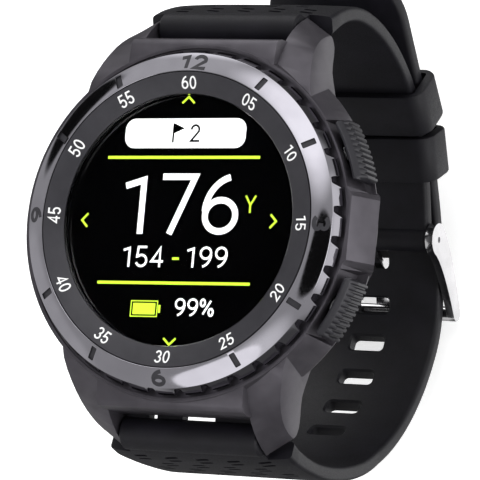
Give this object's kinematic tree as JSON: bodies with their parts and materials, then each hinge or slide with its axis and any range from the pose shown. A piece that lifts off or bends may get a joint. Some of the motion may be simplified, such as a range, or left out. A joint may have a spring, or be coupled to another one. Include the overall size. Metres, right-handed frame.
{
  "type": "golf gps watch",
  "caption": "Round wristwatch with a notched turning bezel, a flat display, side pushers, and a slotted silicone strap closed in a loop by a pin buckle and keepers.",
  "frame": {"origin": "centre of the case back's flat outer face, on the bezel axis", "axes": "+X towards 3 o'clock (the pusher side), +Y towards 12 o'clock, +Z out through the crystal, so the watch lies face up with its strap loop below"},
  "size_m": [0.0539, 0.0789, 0.0736],
  "materials": {
    "case": "satin metallic paint",
    "bezel": "polished dark",
    "ring": "satin",
    "crystal": "polished",
    "display": "gloss",
    "silicone": "matt",
    "pusher": "satin",
    "polished_steel": "polished",
    "steel": "plain",
    "seal": "matt",
    "moulding": "matt",
    "gold": "plated",
    "flex": "satin",
    "board": "satin",
    "antenna": "plain",
    "cell": "pouch foil",
    "weight": "plain"
  },
  "bodies": {
    "case": {"case_body": "case", "case_back": "steel", "case_back_gasket": "seal", "case_back_screws": "steel", "contact_block": "moulding", "charging_contacts": "gold", "bezel_click_washer": "steel", "bezel_retaining_wire": "steel", "numeral_ring": "ring", "crystal": "crystal", "crystal_gasket": "seal", "display_module": "display", "display_flex": "flex", "inner_frame": "moulding", "main_board": "board", "shield_cans": "steel", "gps_antenna": "antenna", "battery": "cell", "battery_flex": "flex", "vibration_motor": "steel", "upper_pusher_spring": "steel", "lower_pusher_spring": "steel", "upper_pusher_seals": "seal", "lower_pusher_seals": "seal", "upper_switch": "moulding", "lower_switch": "moulding", "strap_buckle_half": "silicone", "strap_slot_half": "silicone", "upper_lug_bar": "steel", "lower_lug_bar": "steel", "upper_lug_bar_spring": "steel", "lower_lug_bar_spring": "steel", "buckle_bar": "steel", "buckle_bar_spring": "steel", "fixed_keeper": "silicone"},
    "bezel": {"bezel_ring": "bezel"},
    "upper_pusher": {"upper_pusher": "pusher", "upper_pusher_clip": "steel"},
    "lower_pusher": {"lower_pusher": "pusher", "lower_pusher_clip": "steel"},
    "motor_weight": {"motor_weight": "weight"},
    "upper_tip_left": {"upper_lug_tip_left": "steel"},
    "upper_tip_right": {"upper_lug_tip_right": "steel"},
    "lower_tip_left": {"lower_lug_tip_left": "steel"},
    "lower_tip_right": {"lower_lug_tip_right": "steel"},
    "buckle_tip_left": {"buckle_tip_left": "steel"},
    "buckle_tip_right": {"buckle_tip_right": "steel"},
    "buckle_frame": {"buckle_frame": "polished_steel"},
    "buckle_tongue": {"buckle_tongue": "polished_steel"},
    "free_keeper": {"free_keeper": "silicone"}
  },
  "joints": [
    {"name": "bezel_turn", "type": "hinge", "parent": "case", "child": "bezel", "pos_m": [0, 0, 0.0115], "axis": [0, 0, 1], "continuous": true},
    {"name": "upper_pusher_press", "type": "slide", "parent": "case", "child": "upper_pusher", "axis": [-0.9085, -0.4179, 0], "range_m": [0, 0.0007], "stiffness_N_per_m": 2000, "springref_m": -0.0005, "deforming": ["upper_pusher_spring"]},
    {"name": "lower_pusher_press", "type": "slide", "parent": "case", "child": "lower_pusher", "axis": [-0.9085, 0.4179, 0], "range_m": [0, 0.0007], "stiffness_N_per_m": 2000, "springref_m": -0.0005, "deforming": ["lower_pusher_spring"]},
    {"name": "motor_spin", "type": "hinge", "parent": "case", "child": "motor_weight", "pos_m": [0.003, -0.0128, 0.00345], "axis": [1, 0, 0], "continuous": true},
    {"name": "upper_tip_left_slide", "type": "slide", "parent": "case", "child": "upper_tip_left", "axis": [1, 0, 0], "range_m": [0, 0.0013], "stiffness_N_per_m": 150, "springref_m": -0.001, "deforming": ["upper_lug_bar_spring"]},
    {"name": "upper_tip_right_slide", "type": "slide", "parent": "case", "child": "upper_tip_right", "axis": [-1, 0, 0], "range_m": [0, 0.0013], "stiffness_N_per_m": 150, "springref_m": -0.001},
    {"name": "lower_tip_left_slide", "type": "slide", "parent": "case", "child": "lower_tip_left", "axis": [1, 0, 0], "range_m": [0, 0.0013], "stiffness_N_per_m": 150, "springref_m": -0.001, "deforming": ["lower_lug_bar_spring"]},
    {"name": "lower_tip_right_slide", "type": "slide", "parent": "case", "child": "lower_tip_right", "axis": [-1, 0, 0], "range_m": [0, 0.0013], "stiffness_N_per_m": 150, "springref_m": -0.001},
    {"name": "buckle_tip_left_slide", "type": "slide", "parent": "case", "child": "buckle_tip_left", "axis": [1, 0, 0], "range_m": [0, 0.0013], "stiffness_N_per_m": 150, "springref_m": -0.001, "deforming": ["buckle_bar_spring"]},
    {"name": "buckle_tip_right_slide", "type": "slide", "parent": "case", "child": "buckle_tip_right", "axis": [-1, 0, 0], "range_m": [0, 0.0013], "stiffness_N_per_m": 150, "springref_m": -0.001},
    {"name": "buckle_frame_swing", "type": "hinge", "parent": "case", "child": "buckle_frame", "pos_m": [0, 0.00687, -0.04816], "axis": [1, 0, 0], "range_deg": [0, 4]},
    {"name": "buckle_tongue_swing", "type": "hinge", "parent": "case", "child": "buckle_tongue", "pos_m": [0, 0.00687, -0.04816], "axis": [1, 0, 0], "range_deg": [0, 4]},
    {"name": "free_keeper_slide", "type": "hinge", "parent": "case", "child": "free_keeper", "pos_m": [0, 0.01314, -0.02686], "axis": [1, 0, 0], "range_deg": [0, 7.5]}
  ],
  "couplings": [
    {"joint": "buckle_tongue_swing", "follows": "buckle_frame_swing", "ratio": 1}
  ]
}
